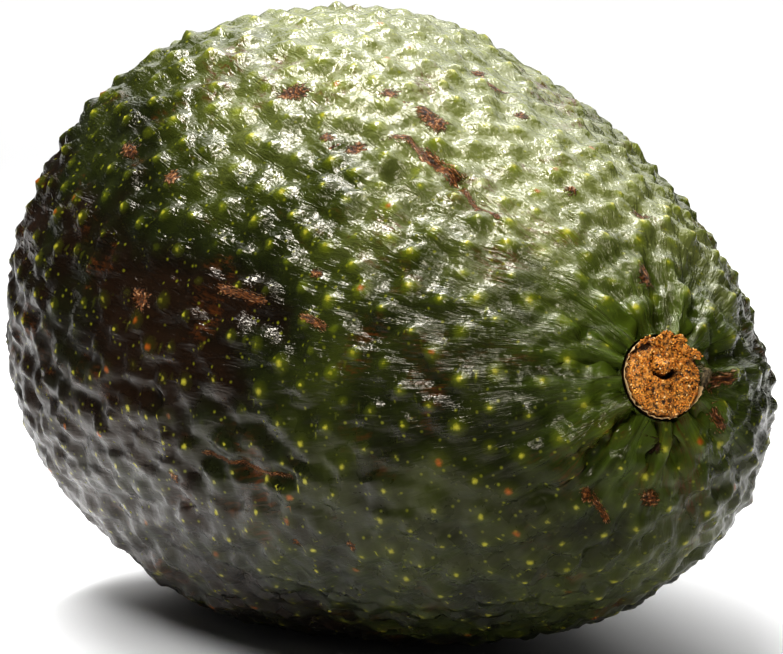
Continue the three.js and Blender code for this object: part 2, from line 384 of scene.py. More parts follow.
keep(body, "grain", grain, "FLOAT_VECTOR")
keep(body, "to_stem", to_stem, "FLOAT_VECTOR")
print("the skin is", round(float(travelled[-1]), 1), "mm long from the stem to the far pole")

# %% [markdown]
# ## Marks in their places
# Each avocado has its own corky scabs, rubbed scars and pits. They are listed with the photograph's pixel in
# which each one is seen, and a ray through that pixel finds its place on the body. A mark is a short line:
# every point of the skin keeps how far along and across its nearest line it lies, in millimetres, and the
# material draws the ragged shape from that. So an edge is as crisp as the material can draw it.

# %% Marks in their places
SCAB, SCAR, CRUST, PIT = 0, 1, 2, 3
MARKS = (
    (SCAB, 1.1, (286, 93), (300, 91)), (SCAB, 0.9, (389, 96), (391, 97)),
    (SCAB, 1.0, (424, 112), (440, 124)), (SCAB, 0.7, (325, 134), (328, 138)),
    (SCAB, 0.8, (350, 145), (358, 142)), (SCAB, 0.8, (479, 65), (482, 66)),
    (SCAB, 0.9, (495, 85), (505, 86)), (SCAB, 0.8, (521, 114), (523, 116)),
    (SCAB, 0.9, (639, 214), (642, 217)), (SCAB, 1.0, (646, 270), (648, 278)),
    (SCAB, 0.7, (570, 190), (572, 192)), (SCAB, 0.9, (128, 150), (131, 151)),
    (SCAB, 0.9, (171, 175), (173, 179)), (SCAB, 0.6, (586, 494), (587, 497)),
    (SCAB, 0.9, (649, 498), (652, 503)), (SCAR, 0.6, (395, 135), (425, 147)),
    (SCAR, 0.8, (425, 147), (455, 173)), (SCAR, 0.4, (455, 175), (478, 203)),
    (SCAR, 0.25, (478, 203), (500, 215)), (SCAR, 0.5, (216, 286), (262, 300)),
    (SCAR, 0.5, (300, 314), (322, 326)), (SCAB, 1.1, (136, 296), (140, 300)),
    (SCAR, 0.4, (595, 500), (608, 522)), (SCAR, 0.22, (200, 455), (290, 478)),
    (SCAB, 0.6, (312, 270), (314, 271)), (SCAB, 0.6, (171, 477), (173, 479)),
    (SCAB, 0.5, (351, 545), (353, 546)), (SCAB, 0.5, (299, 540), (301, 541)),
    (CRUST, 1.0, (706, 372), (710, 380)), (SCAR, 0.9, (719, 382), (729, 380)),
    (SCAR, 0.45, (714, 412), (723, 428)), (PIT, 0.6, (654, 440), (657, 449)),
)
nearest_gap = np.full(len(formed), 1e9)
mark_along = np.zeros((len(formed), 3))
mark_kind = np.zeros(len(formed))
for kind, size, start, end in MARKS:
    start, end = on_body(start), on_body(end)
    length = np.linalg.norm(end - start)
    way = (end - start) / length
    along = (formed - start) @ way
    rest = formed - start - along[:, None] * way
    across = (rest * np.cross(normals, way)).sum(-1)
    over = np.maximum(np.abs(along - length / 2) - length / 2, 0)
    gap = np.hypot(np.linalg.norm(rest, axis=1), over) / size
    nearer = gap < nearest_gap
    nearest_gap[nearer] = gap[nearer]
    mark_kind[nearer] = kind
    signed_over = np.sign(along - length / 2) * over
    mark_along[nearer] = np.stack((signed_over / size, across / size, along / size), 1)[nearer]
keep(body, "mark", mark_along, "FLOAT_VECTOR")
keep(body, "mark_gap", nearest_gap)
keep(body, "mark_kind", mark_kind)
print("marks:", len(MARKS))

# %% [markdown]
# ## Helpers for nodes
# Geometry nodes and shader nodes are made the same way: a node, its settings, and what goes into each of its
# inputs. An input is named by its label, or by its number where several share a label. The short functions
# below say the commonest nodes in one line each, so a long tree still reads like a formula.

# %% Helpers for nodes


def add(tree, kind, inputs=None, **settings):
    """Adds a node with its settings. An input takes a number, another node or one of its outputs."""
    node = tree.nodes.new(kind)
    for name, value in settings.items():
        setattr(node, name, value)
    usable = [s for s in node.inputs if s.enabled]
    for key, value in (inputs or {}).items():
        socket = usable[key] if isinstance(key, int) else next(s for s in usable if s.name == key)
        if isinstance(value, bpy.types.Node):
            value = next(s for s in value.outputs if s.enabled)
        if isinstance(value, bpy.types.NodeSocket):
            tree.links.new(value, socket)
        else:
            socket.default_value = value
    return node


def calc(tree, operation, *values, kind="ShaderNodeMath", **settings):
    """A math node. The values go into its inputs in their order."""
    return add(tree, kind, dict(enumerate(values)), operation=operation, **settings)


def calc_vector(tree, operation, *values):
    """The same for vectors."""
    return calc(tree, operation, *values, kind="ShaderNodeVectorMath")


def product(tree, first, *others):
    """Math nodes that multiply any number of values."""
    for other in others:
        first = calc(tree, "MULTIPLY", first, other)
    return first


def scaled(tree, value, factor, offset):
    """A math node that takes a value times a factor, plus an offset."""
    return calc(tree, "MULTIPLY_ADD", value, factor, offset)


def span(tree, value, source, target=(0, 1), **settings):
    """Takes a value from one range to another, and holds it within that."""
    ends = {"From Min": source[0], "From Max": source[1], "To Min": target[0], "To Max": target[1]}
    return add(tree, "ShaderNodeMapRange", {"Value": value, **ends}, **settings)


def noise(tree, place, size, detail, **inputs):
    """Smooth noise, with spots of about that size in mm."""
    return add(tree, "ShaderNodeTexNoise", {
        "Vector": place, "Scale": 1 / (size * MM), "Detail": detail, **inputs
    })


def mixed(tree, share, first, second, data_type="RGBA"):
    """The first colour or number where the share is 0, and the second where it is 1."""
    return add(tree, "ShaderNodeMix", {0: share, 1: first, 2: second}, data_type=data_type)


print("helpers ready")

# %% [markdown]
# Three more kinds of helper belong to whole trees. One makes a Geometry Nodes tree whose inputs have names,
# one ends it, and one runs it on an object. The colours come as sRGB hex, as a colour picker shows them, and
# Blender's sockets hold linear light, so one function turns the one into the other.

# %% Helpers for trees and materials


def new_tree(name, sizes):
    """A Geometry Nodes tree with a geometry, each size, a seed and a finish as its named inputs."""
    tree = bpy.data.node_groups.new(name, "GeometryNodeTree")
    tree.interface.new_socket("Geometry", in_out="OUTPUT", socket_type="NodeSocketGeometry")
    kinds = {"Geometry": "Geometry", **dict.fromkeys(sizes, "Float"), "Seed": "Int", "Finish": "Material"}
    sockets = {
        label: tree.interface.new_socket(label, in_out="INPUT", socket_type="NodeSocket" + kind)
        for label, kind in kinds.items()
    }
    return tree, sockets


def end_tree(tree, geometry, finish):
    """Instances become real geometry, which gets its material and leaves the tree."""
    whole = add(tree, "GeometryNodeRealizeInstances", {"Geometry": geometry})
    dressed = add(tree, "GeometryNodeSetMaterial", {"Geometry": whole, "Material": finish})
    add(tree, "NodeGroupOutput", {"Geometry": dressed})


def grow(thing, tree, sockets, values):
    """Runs a tree on an object by its inputs' identifiers, and keeps the result as a plain mesh."""
    modifier = thing.modifiers.new(tree.name, "NODES")
    modifier.node_group = tree
    for name, value in values.items():
        modifier[sockets[name].identifier] = value
    evaluated = thing.evaluated_get(bpy.context.evaluated_depsgraph_get())
    grown_mesh = bpy.data.meshes.new_from_object(evaluated)
    thing.modifiers.remove(modifier)
    thing.data = grown_mesh
    grown_mesh.shade_smooth()
    print(thing.name, "has", len(grown_mesh.vertices), "points and", len(grown_mesh.polygons), "faces")


def named(tree, name, data_type="FLOAT"):
    """A kept attribute, read in a Geometry Nodes tree."""
    return add(tree, "GeometryNodeInputNamedAttribute", {"Name": name}, data_type=data_type)


def store(tree, geometry, name, value, data_type="FLOAT"):
    """Keeps a value at each point, for a material to read."""
    return add(tree, "GeometryNodeStoreNamedAttribute", {
        "Geometry": geometry, "Name": name, "Value": value
    }, data_type=data_type)


def kept_here(tree, name, output="Fac"):
    """A kept attribute, read in a material."""
    return add(tree, "ShaderNodeAttribute", attribute_name=name).outputs[output]


def drawn(tree, low, high, seed, data_type="FLOAT"):
    """A random number or vector for each point or instance."""
    return add(tree, "FunctionNodeRandomValue", {"Min": low, "Max": high, "Seed": seed}, data_type=data_type)


def moved(tree, geometry, way, height):
    """Moves points along a direction by a height."""
    offset = calc_vector(tree, "SCALE", way, height)
    return add(tree, "GeometryNodeSetPosition", {"Geometry": geometry, "Offset": offset})


def linear(hex_colour):
    """An sRGB hex colour as the linear RGBA that Blender's sockets hold."""
    shares = [int(hex_colour[i : i + 2], 16) / 255 for i in (1, 3, 5)]
    return tuple(s / 12.92 if s <= 0.04045 else ((s + 0.055) / 1.055) ** 2.4 for s in shares) + (1,)


def colour_ramp(tree, value, *stops):
    """A ramp of colours. Each stop is a position and an sRGB hex colour."""
    node = add(tree, "ShaderNodeValToRGB", {"Fac": value})
    elements = node.color_ramp.elements
    for number, (position, colour) in ((0, stops[0]), (1, stops[-1])):
        elements[number].position = position
        elements[number].color = linear(colour)
    for position, colour in stops[1:-1]:
        elements.new(position).color = linear(colour)
    return node


def new_material(name):
    """A material and its empty node tree."""
    material = bpy.data.materials.new(name)
    material.use_nodes = True
    material.node_tree.nodes.clear()
    return material, material.node_tree


def surface(tree, inputs):
    """The shader that ends a material."""
    shader = add(tree, "ShaderNodeBsdfPrincipled", inputs)
    add(tree, "ShaderNodeOutputMaterial", {"Surface": shader})


print("tree helpers ready")

# %% [markdown]
# ## Raising the skin
# A pebbled skin is many small domes under one sheet. Modelling each dome by hand would take days, so a
# Geometry Nodes tree scatters points over the body, puts a flattened ball on each, and then drops the skin
# onto the balls. Its inputs are the skin's real sizes, so another fruit needs only other numbers.

# %% The tree's inputs
SKIN_SIZES = {
    "Ridges": 12,
    "Ridge height": 0.95 * MM,
    "Ridge reach": 13 * MM,
    "Collar depth": 0.6 * MM,
    "Collar reach": 8 * MM,
    "Pebble spacing": 3.05 * MM,
    "Pebble radius": 0.84 * MM,
    "Pebble height": 0.92 * MM,
    "Pebble sink": 0.26 * MM,
    "Pebble stretch": 0.9,
    "Stretch reach": 20 * MM,
    "Cushion depth": 0.5 * MM,
    "Cushion reach": 2.2 * MM,
    "Fold height": 1.5 * MM,
    "Fold width": 2.6 * MM,
    "Wrinkle height": 0.37 * MM,
    "Wrinkle width": 1.5 * MM,
}
geo, skin_sockets = new_tree("Raise the skin", SKIN_SIZES)
given = add(geo, "NodeGroupInput").outputs
from_stem = named(geo, "stem_distance")
stem_turn = named(geo, "turn")
on_skin = named(geo, "on_skin")
wrinkled_share = named(geo, "wrinkled")
grain_space = named(geo, "grain", "FLOAT_VECTOR")
stem_way = named(geo, "to_stem", "FLOAT_VECTOR")
here = add(geo, "GeometryNodeInputPosition")
facing = add(geo, "GeometryNodeInputNormal")
print("tree inputs:", len(skin_sockets))

# %% [markdown]
# Around the stem the skin is gathered, as cloth is in a drawstring bag. Half waves about the stem's axis give
# broad lobes with sharp valleys between them. Noise lets the valleys wander, because straight ones would look
# moulded, and the whole fades out with the distance from the stem.

# %% Folds that meet at the stem
WANDER_SIZE, WANDER_TURN = 6, 6.0
LOBE_SWING, LOBE_DROP = 2.0, -1.3
UNEVEN_WAVES, UNEVEN_SHARE = 7.0, 0.35


def bell(tree, value, reach):
    """A smooth fall from 1 at nought towards 0 past the reach."""
    share = calc(tree, "DIVIDE", value, reach)
    return calc(tree, "EXPONENT", product(tree, share, share, -1.0))


wander = noise(geo, here, WANDER_SIZE, 2.0)
wander_turn = scaled(geo, wander, WANDER_TURN, -WANDER_TURN / 2)
ridge_phase = scaled(geo, stem_turn, given["Ridges"], wander_turn)
half_wave = calc(geo, "COSINE", product(geo, ridge_phase, 0.5))
ridge_wave = scaled(geo, calc(geo, "ABSOLUTE", half_wave), LOBE_SWING, LOBE_DROP)
uneven_wave = calc(geo, "SINE", product(geo, stem_turn, UNEVEN_WAVES))
uneven = scaled(geo, uneven_wave, UNEVEN_SHARE, 1.0)
ridge_fade = bell(geo, from_stem, given["Ridge reach"])
ridge = product(geo, given["Ridge height"], uneven, ridge_fade, ridge_wave)
collar = product(geo, given["Collar depth"], bell(geo, from_stem, given["Collar reach"]))
stem_form = calc(geo, "SUBTRACT", ridge, collar)
folded = moved(geo, given["Geometry"], facing, product(geo, stem_form, on_skin))
print("nodes so far:", len(geo.nodes))

# %% [markdown]
# The pebbles are flattened balls on scattered points. Poisson disks keep the points evenly apart, as the
# fruit's own do, and each ball's size is drawn. Near the stem the balls are drawn out towards it, and on the
# smoother flank they are lower.

# %% Pebbles as balls under the sheet
COLLAR_FROM, COLLAR_TO = 4.4 * MM, 8.0 * MM
POINTS_PER_AREA = 400000.0
RADIUS_DRAW, HEIGHT_DRAW = (0.62, 1.25), (0.6, 1.1)
PLAIN_STRETCH = 1.08
LOWEST_SHARE, COLLAR_SHARE = 0.3, 0.4
grown = span(geo, from_stem, (COLLAR_FROM, COLLAR_TO), interpolation_type="SMOOTHSTEP")
scattered = add(geo, "GeometryNodeDistributePointsOnFaces", {
    "Mesh": folded, "Distance Min": given["Pebble spacing"], "Density Max": POINTS_PER_AREA,
    "Density Factor": grown, "Seed": given["Seed"],
}, distribute_method="POISSON")
along_stem = add(geo, "FunctionNodeAlignRotationToVector", {
    "Rotation": scattered.outputs["Rotation"], "Vector": stem_way
}, axis="X", pivot_axis="Z")
ball_radius = product(geo, given["Pebble radius"], drawn(geo, *RADIUS_DRAW, 11))
drawn_out = bell(geo, from_stem, given["Stretch reach"])
stretch = scaled(geo, drawn_out, given["Pebble stretch"], PLAIN_STRETCH)
ball_length = product(geo, ball_radius, stretch)
grown_height = span(
    geo, from_stem, (COLLAR_FROM, COLLAR_TO), (COLLAR_SHARE, 1.0), interpolation_type="SMOOTHSTEP"
)
calm_height = scaled(geo, wrinkled_share, 1.0 - LOWEST_SHARE, LOWEST_SHARE)
ball_height = product(
    geo, given["Pebble height"], drawn(geo, *HEIGHT_DRAW, 12), calm_height, grown_height
)
ball_size = add(geo, "ShaderNodeCombineXYZ", {"X": ball_length, "Y": ball_radius, "Z": ball_height})
ball = add(geo, "GeometryNodeMeshIcoSphere", {"Radius": 1.0, "Subdivisions": 3})
seeds = add(geo, "GeometryNodeCaptureAttribute", {"Geometry": scattered})
seeds.capture_items.new("VECTOR", "Normal")
geo.links.new(scattered.outputs["Normal"], seeds.inputs["Normal"])
seed_normal = seeds.outputs["Normal"]
sunk = moved(geo, seeds, seed_normal, product(geo, given["Pebble sink"], -1.0))
balls = add(geo, "GeometryNodeInstanceOnPoints", {
    "Points": sunk, "Instance": ball, "Rotation": along_stem, "Scale": ball_size
})
ball_mesh = add(geo, "GeometryNodeRealizeInstances", {"Geometry": balls})
print("nodes so far:", len(geo.nodes))

# %% [markdown]
# The sheet is dropped on the balls: a ray from just outside each point of the skin finds how high the highest
# ball stands there. A blur then rounds the foot of each dome. It works more strongly near the stem, where the
# real skin runs over its lobes without a break.

# %% The sheet dropped on the balls
RAY_START = 3 * MM
SOFT_FROM, SOFT_TO, SOFT_SHARES, SOFT_ROUNDS = 7 * MM, 19 * MM, (0.9, 0.03), 12
ray_origin = calc_vector(geo, "ADD", here, calc_vector(geo, "SCALE", facing, RAY_START))
ray = add(geo, "GeometryNodeRaycast", {
    "Target Geometry": ball_mesh, "Source Position": ray_origin,
    "Ray Direction": calc_vector(geo, "SCALE", facing, -1.0), "Ray Length": RAY_START,
})
ray_height = calc(geo, "SUBTRACT", RAY_START, ray.outputs["Hit Distance"])
pebble_height = add(geo, "GeometryNodeBlurAttribute", {
    "Value": product(geo, ray_height, ray.outputs["Is Hit"]), "Iterations": SOFT_ROUNDS,
    "Weight": span(geo, from_stem, (SOFT_FROM, SOFT_TO), SOFT_SHARES),
}, data_type="FLOAT")
print("nodes so far:", len(geo.nodes))

# %% [markdown]
# The skin between the pebbles isn't even. Broad folds follow plain noise, and narrow wrinkles follow the
# grain, so they run towards the stem. The wrinkles are as strong as the kept attribute says, and they calm
# down next to the button.

# %% Folds and wrinkles along the grain
BEND = 0.8
CALM_FROM, CALM_TO, CALM_SHARE = 4 * MM, 14 * MM, 0.5


def relief_noise(vector, width, height, detail):
    """Noise about nought, whose spots have that width and whose swing has that height."""
    waves = add(geo, "ShaderNodeTexNoise", {
        "Vector": vector, "Scale": calc(geo, "DIVIDE", 1.0, width), "Detail": detail, "Distortion": BEND
    })
    return product(geo, calc(geo, "SUBTRACT", waves, 0.5), height)


fold = relief_noise(here, given["Fold width"], given["Fold height"], 2.0)
wrinkle = relief_noise(grain_space, given["Wrinkle width"], given["Wrinkle height"], 1.5)
stem_calm = span(geo, from_stem, (CALM_FROM, CALM_TO), (CALM_SHARE, 1.0))
low_relief = calc(
    geo, "ADD", product(geo, fold, grown), product(geo, wrinkle, stem_calm, wrinkled_share)
)
pebbled_relief = calc(geo, "ADD", pebble_height, product(geo, low_relief, on_skin))
print("nodes so far:", len(geo.nodes))

# %% [markdown]
# Between its pebbles the skin puffs down into shallow hollows, which start at each pebble's foot. For these,
# and for the colours, each point of the skin looks up the pebble nearest to it: where its tip is, how far off
# that is, and a number drawn for it, so that a material can paint a crisp dot on a tip.

# %% Hollows between the pebbles, and what the colours need
TIP_SHARE = 0.85
HOLLOW_LIMIT, HOLLOW_BLUR = 1.2, 0.6
nearest = add(geo, "GeometryNodeSampleNearest", {"Geometry": seeds, "Sample Position": here}, domain="POINT")


def of_nearest(value, data_type="FLOAT_VECTOR"):
    """A value of the nearest pebble."""
    return add(geo, "GeometryNodeSampleIndex", {
        "Geometry": seeds, "Value": value, "Index": nearest
    }, data_type=data_type, domain="POINT")


foot_gap = calc_vector(geo, "DISTANCE", here, of_nearest(here)).outputs["Value"]
foot_share = calc(geo, "MINIMUM", calc(geo, "DIVIDE", foot_gap, given["Cushion reach"]), HOLLOW_LIMIT)
foot_square = product(geo, foot_share, foot_share)
cushion = add(geo, "GeometryNodeBlurAttribute", {
    "Value": product(geo, given["Cushion depth"], grown, foot_square), "Iterations": 1,
    "Weight": HOLLOW_BLUR,
}, data_type="FLOAT")
relief = calc(geo, "SUBTRACT", pebbled_relief, cushion)
tip_height = product(geo, calc(geo, "SUBTRACT", ball_height, given["Pebble sink"]), TIP_SHARE)
tip = of_nearest(calc_vector(geo, "ADD", here, calc_vector(geo, "SCALE", seed_normal, tip_height)))
tip_gap = calc_vector(geo, "DISTANCE", here, tip).outputs["Value"]
kept = store(geo, folded, "tip", tip, "FLOAT_VECTOR")
kept = store(geo, kept, "tip_gap", tip_gap)
kept = store(geo, kept, "chance", of_nearest(drawn(geo, 0.0, 1.0, 13), "FLOAT"))
kept = store(geo, kept, "raised", pebble_height)
raised = moved(geo, kept, facing, relief)
print("nodes so far:", len(geo.nodes))

# %% [markdown]
# The fruit lies on its flat spot, so no pebble may stand through the floor. A last step lifts whatever would
# be lower back to the floor's height.

# %% Pressed flat on the floor
parts = add(geo, "ShaderNodeSeparateXYZ", {0: here}).outputs
pressed = add(geo, "GeometryNodeSetPosition", {
    "Geometry": raised, "Position": add(geo, "ShaderNodeCombineXYZ", {
        "X": parts["X"], "Y": parts["Y"], "Z": calc(geo, "MAXIMUM", parts["Z"], 0.0)
    })
})
end_tree(geo, pressed, given["Finish"])
print("the skin's tree has", len(geo.nodes), "nodes")

# %% [markdown]
# ## The skin's finish
# Avocado skin is leathery, with a thin natural wax. The wax gives sharp, broken glints, and the colour under
# it goes from grass green to nearly black. Yellow-green lenticels, which are pores, sit on the pebbles' tips,
# and some have turned to rust-brown cork. The pattern sizes are true sizes in millimetres.

# %% The skin's ground colour
STEM_GREEN_SHARE = 0.55
TILT_X, TILT_Y = 0.23, 0.2
TOP_FROM, TOP_TO, NECK_FROM, NECK_TO = 39 * MM, 64 * MM, 20 * MM, 64 * MM
ZONE_SWING, ZONE_DROP, MOTTLE_SWING, MOTTLE_DROP = 1.1, -0.55, 0.7, -0.3
skin, look = new_material("Waxy avocado skin, grown")
place = add(look, "ShaderNodeTexCoord").outputs["Object"]
tip_here = kept_here(look, "tip", "Vector")
tip_far = kept_here(look, "tip_gap")
chance = kept_here(look, "chance")
lifted = kept_here(look, "raised")
grained = kept_here(look, "grain", "Vector")
stem_far = kept_here(look, "stem_distance")
zone_part = kept_here(look, "wrinkled")
xyz = add(look, "ShaderNodeSeparateXYZ", {0: place}).outputs
# Painted sheen: the ground colour gets paler with height, leaning towards the neck and the right shoulder, on
# the side that faces the lights above. The paler top is partly the skin's own lighter green and partly painted
# sheen, and so the lower side is painted darker. The neck's green share is the skin's own colour.
tilted_x = scaled(look, xyz["X"], TILT_X, xyz["Z"])
tilted = scaled(look, xyz["Y"], TILT_Y, tilted_x)
pale_top_and_painted_sheen = span(look, tilted, (TOP_FROM, TOP_TO))
stem_share = span(look, xyz["X"], (NECK_FROM, NECK_TO), (0, STEM_GREEN_SHARE))
green_and_painted_sheen = calc(look, "MAXIMUM", pale_top_and_painted_sheen, stem_share)
zone_mixed = scaled(look, noise(look, place, 22, 4.0), ZONE_SWING, ZONE_DROP)
zone_mottled = scaled(look, noise(look, place, 6, 4.0), MOTTLE_SWING, MOTTLE_DROP)
zone = calc(look, "ADD", green_and_painted_sheen, calc(look, "ADD", zone_mixed, zone_mottled), use_clamp=True)
ground = colour_ramp(
    look, zone, (0, "#20150c"), (0.12, "#19120a"), (0.3, "#1c200c"), (0.6, "#363c14"), (1, "#686d3b")
)
print("nodes so far:", len(look.nodes))

# %% [markdown]
# Three things lie over the ground colour. Pale streaks leave the stem along the grain, the pebbles are a
# fresher green than the skin between them, and rust-brown fibres show in patches.

# %% Streaks, knobs and rust
STREAK_FROM, STREAK_TO, STREAK_SHARE = 4.2 * MM, 17 * MM, 0.8
KNOB_FROM, KNOB_TO, KNOB_SHARE = 0.08 * MM, 0.7 * MM, 0.6
KNOB_SWING, KNOB_LEAST = 0.9, 0.24
streak_reach = span(look, stem_far, (STREAK_FROM, STREAK_TO), (1.0, 0.0))
streak_noise = noise(look, grained, 3.2, 3.0, Roughness=0.6, Distortion=0.8)
streak_mask = product(look, span(look, streak_noise, (0.3, 0.75), (0, STREAK_SHARE)), streak_reach)
streaked = mixed(look, streak_mask, ground, linear("#5d7122"))
knob = span(look, lifted, (KNOB_FROM, KNOB_TO), (0, KNOB_SHARE))
# The pebbles' own fresher green, and the glow around their dots further on, are scaled by the zone and the
# wrinkled share. Both are higher on the top, so these colours also follow the painted sheen of the top.
knob_share_with_painted_top = product(look, scaled(look, zone, KNOB_SWING, KNOB_LEAST), zone_part)
knobbed = mixed(look, product(look, knob, knob_share_with_painted_top), streaked, linear("#445112"))
rust_mask = span(look, noise(look, place, 9, 5.0, Roughness=0.65), (0.56, 0.68))
fibre_mask = span(look, noise(look, grained, 0.5, 3.0, Roughness=0.7), (0.46, 0.6))
rusted = mixed(look, product(look, rust_mask, fibre_mask), knobbed, linear("#4f2c12"))
print("nodes so far:", len(look.nodes))

# %% [markdown]
# Each pebble's tip has a crisp dot with a soft glow around it. The material measures how far the point is
# from the kept tip, so a dot stays round and sharp at any resolution. One in twelve or so is orange. Fine
# specks, cells of a Voronoi pattern, lie between them.

# %% Dots on the tips, and specks
TIP_LIMIT = 1.5 * MM
DOT_RADIUS, DOT_DRAW, DOT_RAGGED = 0.14 * MM, 0.22 * MM, 0.5 * MM
GLOW_SHARE, SPECK_SHARE, ORANGE_FROM = 0.6, 0.7, 0.92
SPECK_CELL, SPECK_EDGE, SPECK_CORE = 1.15 * MM, 0.2, 0.03
tip_off = calc_vector(look, "DISTANCE", place, tip_here).outputs["Value"]
near_tip = calc(look, "LESS_THAN", tip_far, TIP_LIMIT)
dot_size = scaled(look, chance, DOT_DRAW, DOT_RADIUS)
crumble = noise(look, place, 0.35, 4.0, Roughness=0.7)
ragged_off = calc(look, "ADD", tip_off, scaled(look, crumble, DOT_RAGGED, -DOT_RAGGED / 2))
dot_edge = calc(look, "DIVIDE", ragged_off, dot_size)
glow_mask = product(look, span(look, dot_edge, (4.0, 1.0), (0, GLOW_SHARE)), near_tip, knob_share_with_painted_top)
glowing = mixed(look, glow_mask, rusted, linear("#767e18"))
dot = span(look, dot_edge, (1.6, 0.1), interpolation_type="SMOOTHSTEP")
is_orange = calc(look, "GREATER_THAN", chance, ORANGE_FROM)
dot_colour = mixed(look, is_orange, linear("#a8a236"), linear("#96501a"))
specks = add(look, "ShaderNodeTexVoronoi", {"Vector": place, "Scale": 1 / SPECK_CELL}, feature="F1")
speck = span(look, specks.outputs["Distance"], (SPECK_EDGE, SPECK_CORE), (0, SPECK_SHARE))
specked = mixed(look, speck, glowing, linear("#84861f"))
dotted = mixed(look, product(look, dot, near_tip), specked, dot_colour)
print("nodes so far:", len(look.nodes))

# %% [markdown]
# A mark's outline comes from how far along and across its line the point is. Scabs, crusts and pits have an
# edge that noise makes ragged all around. A scar is torn along its length instead, so its noise is drawn out.

# %% The shape of a mark
KIND_GAP, PIT_FROM = 0.3, 2.6
STRAND_SQUEEZE, STRAND_SCALE, STRAND_CRUMBLE = 6.0, 0.9, 0.25
REACH_SWING, REACH_DROP, CRUMB_SWING = 2.6, -1.75, 2.2
EDGE_OUT, EDGE_IN, MARK_LIMIT = 0.2, -0.15, 2.2
mark_place = kept_here(look, "mark", "Vector")
kind_here = kept_here(look, "mark_kind")
mark_parts = add(look, "ShaderNodeSeparateXYZ", {0: mark_place}).outputs
mark_flat = add(look, "ShaderNodeCombineXYZ", {"X": mark_parts["X"], "Y": mark_parts["Y"]})
mark_length = calc_vector(look, "LENGTH", mark_flat).outputs["Value"]
mark_way = calc_vector(look, "NORMALIZE", mark_flat)
rays = add(look, "ShaderNodeTexNoise", {"Vector": mark_way, "Scale": 3.5, "Detail": 3.0, "Roughness": 0.7})
strands = calc_vector(look, "MULTIPLY", mark_place, (1.0, STRAND_SQUEEZE, 1.0))
strand_noise = add(look, "ShaderNodeTexNoise", {"Vector": strands, "Scale": STRAND_SCALE, "Detail": 3.0})
is_scar = calc(look, "COMPARE", kind_here, float(SCAR), KIND_GAP)
ragged = mixed(look, is_scar, rays, strand_noise, data_type="FLOAT")
reach_part = scaled(look, ragged, REACH_SWING, REACH_DROP)
mark_edge = calc(look, "SUBTRACT", mark_length, scaled(look, crumble, CRUMB_SWING, reach_part))
mark_near = calc(look, "LESS_THAN", kept_here(look, "mark_gap"), MARK_LIMIT)
mark_mask = product(look, span(look, mark_edge, (EDGE_OUT, EDGE_IN)), mark_near)
print("nodes so far:", len(look.nodes))

# %% [markdown]
# Cork breaks into crumbs of many browns, from nearly black in its cracks to cream. The cream stands partly for
# rubbed edges and partly for painted glints. The kept kind of the mark picks which of three patterns is seen:
# scab or scar, crust, and pit.

# %% The colours of a mark
strand_part = mixed(look, STRAND_CRUMBLE, strand_noise, crumble, data_type="FLOAT")
scab_pattern = mixed(look, is_scar, crumble, strand_part, data_type="FLOAT")
# Painted glints: the cream end of this ramp lies on the highest crumbs and strands, where light would catch
# them.
scab_colour_with_glints = colour_ramp(
    look, scab_pattern, (0.38, "#140b06"), (0.5, "#5e3315"), (0.59, "#a8692c"), (0.7, "#ecd6b0")
)
crust_colour = colour_ramp(look, crumble, (0.38, "#4a3d28"), (0.6, "#bda67e"))
is_crust = calc(look, "COMPARE", kind_here, float(CRUST), KIND_GAP)
scab_or_crust = mixed(look, is_crust, scab_colour_with_glints, crust_colour)
is_pit = calc(look, "GREATER_THAN", kind_here, PIT_FROM)
pit_colour = mixed(look, crumble, linear("#170e07"), linear("#5e4229"))
mark_colour = mixed(look, is_pit, scab_or_crust, pit_colour)
marked = mixed(look, mark_mask, dotted, mark_colour)
print("nodes so far:", len(look.nodes))

# %% [markdown]
# The last step is how the surface shines. Wax is smooth, so its roughness is low and uneven, and cork is
# dull. A bump map adds what is too fine for the mesh: creases along the grain, small plates and grit. Next to
# the stem and on the pebbles it is calmer, so they glint in larger spots.

# %% The wax and its fine relief
WAX_ROUGHNESS, CALM_ROUGHNESS, CORK_ROUGHNESS = (0.08, 0.17), 0.16, 0.4
PLATE_CELL, PLATE_DEPTH, GRIT_HEIGHT = 1.2 * MM, -0.45, 0.6
KNOB_CALM, MARK_RELIEF = -1.1, 3.5
SMOOTH_FROM, SMOOTH_TO, SMOOTH_SHARE = 4 * MM, 18 * MM, 0.6
BUMP_HEIGHT = 0.2 * MM
wax_spread = span(look, noise(look, place, 3, 4.0), (0.3, 0.7), WAX_ROUGHNESS)
calm_roughness = span(look, zone_part, (0.3, 0.95), (CALM_ROUGHNESS, 0.0))
wax_roughness = calc(look, "ADD", wax_spread, calm_roughness)
skin_roughness = mixed(look, mark_mask, wax_roughness, CORK_ROUGHNESS, data_type="FLOAT")
crease = noise(look, grained, 0.8, 3.0, Roughness=0.55, Distortion=1.2)
plates = add(look, "ShaderNodeTexVoronoi", {"Vector": grained, "Scale": 1 / PLATE_CELL}, feature="F1")
plated = scaled(look, plates.outputs["Distance"], PLATE_DEPTH, crease)
fine = scaled(look, noise(look, place, 0.6, 2.0), GRIT_HEIGHT, plated)
calm_knob = scaled(look, knob, KNOB_CALM, 1.0)
stem_smooth = span(look, stem_far, (SMOOTH_FROM, SMOOTH_TO), (SMOOTH_SHARE, 1.0))
fine_skin = product(look, fine, product(look, calm_knob, zone_part, stem_smooth))
mark_rough = product(look, crumble, mark_mask)
all_fine = scaled(look, mark_rough, MARK_RELIEF, fine_skin)
bumped = add(look, "ShaderNodeBump", {"Height": all_fine, "Distance": BUMP_HEIGHT, "Strength": 1.0})
surface(look, {
    "Base Color": marked, "Roughness": skin_roughness, "Normal": bumped,
    "IOR": 1.39, "Specular Tint": linear("#fff3e4"),
})
print("the skin's material has", len(look.nodes), "nodes")

